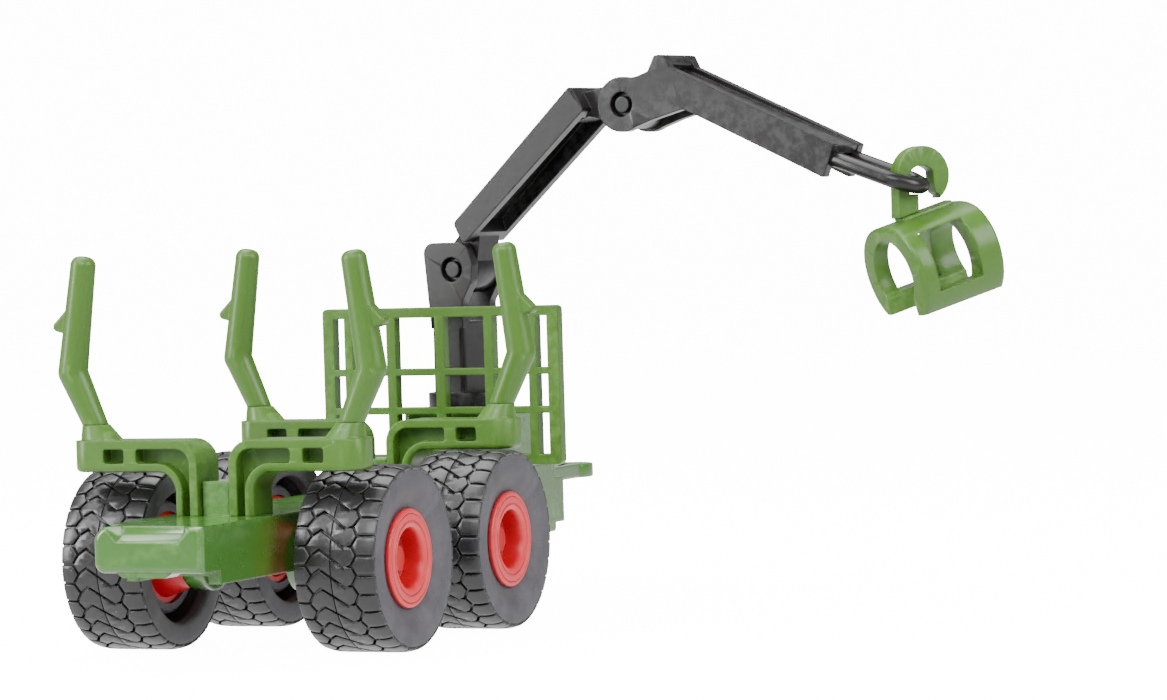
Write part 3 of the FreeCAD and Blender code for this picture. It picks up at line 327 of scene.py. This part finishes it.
def block_list():
    def pts(*ab):
        return [(a, b * P) for a, b in ab]

    sip_lo, sip_hi = (4.18, -0.59), (4.18, 0.41)
    inner = pts((EDGE, 0), (1.46, 0), (2.09, 0.5), (1.46, 1), (EDGE, 1))
    left = pts((1.46, 0), (2.09, -0.5), (2.98, -0.19), sip_lo, sip_hi, (2.98, 0.81), (2.09, 0.5))
    right = pts(sip_lo, (5.70, -1.16), (6.42, -1), (6.98, -0.5), (6.42, 0), (5.70, -0.16), sip_hi)
    outer = pts((W - EDGE, -0.5), (W - EDGE, 0.5), (6.98, 0.5), (6.42, 0), (6.98, -0.5))
    res = []
    for poly, soft in ((inner, lambda p, q: p[0] == q[0] == EDGE), (left, lambda p, q: p[0] == q[0] == 4.18),
                       (right, lambda p, q: p[0] == q[0] == 4.18), (outer, lambda p, q: p[0] == q[0] == W - EDGE)):
        if area2(poly) < 0:
            poly = poly[::-1]
        kinds = []
        for i in range(len(poly)):
            p, q = poly[i], poly[(i + 1) % len(poly)]
            if soft(p, q):
                kinds.append("sipe" if p[0] == 4.18 else "end")
            else:
                kinds.append("groove")
        res.append((poly, kinds))
    return res


RINGS = ((-0.40, {"groove": 0.09, "sipe": 0.03, "end": 0.0}),
         (-0.07, {"groove": 0.13, "sipe": 0.045, "end": 0.02}),
         (-0.02, {"groove": 0.145, "sipe": 0.055, "end": 0.04}),
         (0.0, {"groove": 0.18, "sipe": 0.08, "end": 0.08}))


def one_pitch():
    """The blocks of one pitch as (verts (a, b, h), faces)."""
    bm = bmesh.new()
    for poly, kinds in block_list():
        rings = []
        for h, wd in RINGS:
            pl = inset(poly, [wd[k] for k in kinds])
            rings.append([bm.verts.new((p.x, p.y, h)) for p in pl])
        n = len(poly)
        for lo, hi in zip(rings, rings[1:]):
            for i in range(n):
                bm.faces.new((lo[i], lo[(i + 1) % n], hi[(i + 1) % n], hi[i]))
        bm.faces.new(rings[-1])
        bm.faces.new(rings[0][::-1])
    bmesh.ops.triangulate(bm, faces=[f for f in bm.faces if len(f.verts) > 4])
    for j in range(-8, 9):
        bmesh.ops.bisect_plane(bm, geom=bm.verts[:] + bm.edges[:] + bm.faces[:], plane_co=(0, j * P / 4 + 0.013, 0), plane_no=(0, 1, 0), dist=1e-5)
    for x in (0.28, 0.62, 1.05, W - 1.05, W - 0.62, W - 0.28):
        bmesh.ops.bisect_plane(bm, geom=bm.verts[:] + bm.edges[:] + bm.faces[:], plane_co=(x, 0, 0), plane_no=(1, 0, 0), dist=1e-5)
    bmesh.ops.remove_doubles(bm, verts=bm.verts[:], dist=1e-5)
    bmesh.ops.recalc_face_normals(bm, faces=bm.faces[:])
    bm.verts.index_update()
    v = [tuple(x.co) for x in bm.verts]
    f = [tuple(x.index for x in fc.verts) for fc in bm.faces]
    bm.free()
    return v, f


def rounded(points, times=2):
    """Corner cutting on a closed list of (a, r, hard); hard corners stay."""
    pts = points
    for _ in range(times):
        new = []
        n = len(pts)
        for i in range(n):
            p, c, q = pts[i - 1], pts[i], pts[(i + 1) % n]
            if c[2]:
                new.append(c)
                continue
            new.append((c[0] + (p[0] - c[0]) * 0.25, c[1] + (p[1] - c[1]) * 0.25, 0))
            new.append((c[0] + (q[0] - c[0]) * 0.25, c[1] + (q[1] - c[1]) * 0.25, 0))
        pts = new
    return pts


FLOOR_R = R - DEPTH
CARCASS = [
    (7.95, 4.65, 1), (7.95, 4.98, 0), (8.0, 5.05, 0), (8.04, 5.16, 0), (8.12, 5.4, 0), (8.28, 5.8, 0),
    (8.46, 6.22, 0), (8.62, 6.55, 0), (8.8, 6.95, 0), (8.9, 7.5, 0), (8.88, 8.1, 0), (8.86, 8.5, 0), (8.8, 8.76, 0),
    (8.64, 8.88, 0), (8.36, FLOOR_R, 1),
    (4.45, FLOOR_R, 1),
    (0.54, FLOOR_R, 1), (0.26, 8.88, 0), (0.1, 8.76, 0), (0.04, 8.5, 0), (0.0, 8.1, 0),
    (0.0, 7.2, 0), (0.06, 6.8, 0), (0.22, 6.62, 0), (0.5, 6.6, 0), (1.6, 6.6, 0), (1.6, 7.3, 0), (5.5, 7.3, 0), (5.5, 5.85, 0),
    (1.6, 5.85, 0), (1.6, 4.65, 1),
]


def tyre(name, node, body, side, cy, cz, turn):
    """side 1 for the right wheels. Built about its own centre, then put in place by the object's location."""
    bv, bf = PITCH
    x0 = 0.0085 if side > 0 else -0.0174
    bm = bmesh.new()
    # carcass
    prof = rounded(CARCASS)
    if side < 0:
        prof = [(W - a, r, h) for a, r, h in prof]
    seg = 180
    rows = []
    for k in range(seg):
        t = 2 * math.pi * k / seg
        ct, st = math.cos(t), math.sin(t)
        rows.append([bm.verts.new((x0 + a * 0.001, -r * ct * 0.001, r * st * 0.001)) for a, r, _ in prof])
    n = len(prof)
    hard = [h for _, _, h in prof]
    for k in range(seg):
        A, B = rows[k], rows[(k + 1) % seg]
        for i in range(n):
            j = (i + 1) % n
            f = bm.faces.new((A[i], A[j], B[j], B[i]))
            am, rm = (prof[i][0] + prof[j][0]) / 2, (prof[i][1] + prof[j][1]) / 2
            # faces off the tread band get the sidewall rubber, whose lighter colour is painted light
            f.material_index = 0 if (0.35 < am < W - 0.35 and rm > 8.6) else 1
            f.smooth = True
    bmesh.ops.recalc_face_normals(bm, faces=bm.faces[:])
    for e in bm.edges:
        if e.is_manifold and e.calc_face_angle(0) > math.radians(38):
            e.smooth = False
    me = bpy.data.meshes.new(name)
    bm.to_mesh(me)
    bm.free()
    # blocks
    bm = bmesh.new()
    bm.from_mesh(me)
    for k in range(PITCHES):
        vs = []
        for a, b, h in bv:
            t = (b / P + k) * 2 * math.pi / PITCHES + turn
            r = crown(a) + h
            if h < -0.39:
                r = R - 0.55
            vs.append(bm.verts.new((x0 + a * 0.001, -r * math.cos(t) * 0.001, r * math.sin(t) * 0.001)))
        for f in bf:
            fc = bm.faces.new([vs[i] for i in f])
            fc.smooth = True
            fc.material_index = 0
            if fc.calc_area() < 1e-16:
                bm.faces.remove(fc)
                continue
            for e in fc.edges:
                if e.is_manifold and e.calc_face_angle(0) > math.radians(30):
                    e.smooth = False
    bm.to_mesh(me)
    bm.free()
    me.materials.append(M_TREAD)
    me.materials.append(M_LIT_SIDEWALL)
    o = bpy.data.objects.new(name, me)
    bpy.context.scene.collection.objects.link(o)
    o.location = (0, cy, cz)
    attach(o, body)
    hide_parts(node)
    return o


PITCH = one_pitch()
k = 0
for end in ("rear", "front"):
    for sd, s in (("right", 1), ("left", -1)):
        lo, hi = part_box("tyre_%s_%s" % (end, sd))
        tyre("moulded_tyre_%s_%s" % (end, sd), "tyre_%s_%s" % (end, sd), "wheel_%s_%s" % (end, sd), s, (lo[1] + hi[1]) / 2, (lo[2] + hi[2]) / 2, 0.0)
        k += 1

# ---------------------------------------------------------------- camera
a, p, r = 0.411, 0.032, -0.030
fwd = Vector((-math.sin(a) * math.cos(p), math.cos(a) * math.cos(p), -math.sin(p)))
right = Vector((math.cos(a), math.sin(a), 0))
up = right.cross(fwd)
rr = math.cos(r) * right + math.sin(r) * up
uu = -math.sin(r) * right + math.cos(r) * up
cam_data = bpy.data.cameras.new("camera")
cam = bpy.data.objects.new("camera", cam_data)
bpy.context.scene.collection.objects.link(cam)
rot = Matrix((rr, uu, -fwd)).transposed().to_4x4()
cam.matrix_world = Matrix.Translation(Vector((182.974, -349.225, 37.338)) * K + SHIFT) @ rot
cam_data.sensor_width = 36.0
cam_data.lens = 36.0 * 4631.66 / 1167.0
cam_data.clip_start = 0.01
cam_data.clip_end = 20.0
bpy.context.scene.camera = cam

# ---------------------------------------------------------------- stage and light
bm = bmesh.new()
bmesh.ops.create_grid(bm, x_segments=1, y_segments=1, size=4.0)
me = bpy.data.meshes.new("floor")
bm.to_mesh(me); bm.free()
floor = bpy.data.objects.new("floor", me)
floor.location = (0, 0, FLOOR_Z)
bpy.context.scene.collection.objects.link(floor)
fm, nt, bsdf = principled("floor_white", (0.9, 0.9, 0.9), 0.55, **{"Specular IOR Level": 0.2})
bsdf.inputs["Emission Color"].default_value = (1, 1, 1, 1)
bsdf.inputs["Emission Strength"].default_value = 14.0
floor.data.materials.append(fm)
floor.visible_diffuse = False
floor.visible_glossy = False

# The studio's white surround: bright where it is seen, softer as a light.
world = bpy.data.worlds.new("world")
world.use_nodes = True
wt = world.node_tree
bg = wt.nodes["Background"]
bg.inputs["Color"].default_value = (1, 1, 1, 1)
# the pale table throws light back up
wc = wt.nodes.new("ShaderNodeTexCoord")
wz = wt.nodes.new("ShaderNodeSeparateXYZ")
wr = wt.nodes.new("ShaderNodeMapRange")
for key, val in (("From Min", -0.35), ("From Max", 0.12), ("To Min", 2.1), ("To Max", 0.45)):
    wr.inputs[key].default_value = val
wt.links.new(wc.outputs["Generated"], wz.inputs[0])
wt.links.new(wz.outputs["Z"], wr.inputs["Value"])
wt.links.new(wr.outputs["Result"], bg.inputs["Strength"])
seen = wt.nodes.new("ShaderNodeBackground")
seen.inputs["Color"].default_value = (1, 1, 1, 1)
seen.inputs["Strength"].default_value = 14.5
lp = wt.nodes.new("ShaderNodeLightPath")
mx = wt.nodes.new("ShaderNodeMixShader")
wt.links.new(lp.outputs["Is Camera Ray"], mx.inputs[0])
wt.links.new(bg.outputs[0], mx.inputs[1])
wt.links.new(seen.outputs[0], mx.inputs[2])
wt.links.new(mx.outputs[0], wt.nodes["World Output"].inputs["Surface"])
bpy.context.scene.world = world


def area(name, loc, target, size, power, color=(1, 1, 1)):
    d = bpy.data.lights.new(name, "AREA")
    d.shape = "RECTANGLE"
    d.size, d.size_y = size
    d.energy = power
    d.color = color
    o = bpy.data.objects.new(name, d)
    o.location = Vector(loc) + SHIFT
    o.rotation_euler = (Vector(target) - Vector(loc)).to_track_quat("-Z", "Y").to_euler()
    bpy.context.scene.collection.objects.link(o)
    return o


area("right", (0.45, -0.05, 0.28), (0.02, 0.03, 0.02), (0.3, 0.3), 2.5)
area("left", (-0.4, -0.3, 0.22), (0.02, 0.03, 0.02), (0.15, 0.4), 3.8)
area("front", (0.1, -0.5, 0.42), (0.02, 0.03, 0.02), (0.5, 0.3), 4.2)
area("top", (-0.14, 0.06, 0.55), (0.02, 0.03, 0.02), (0.6, 0.4), 4.6)
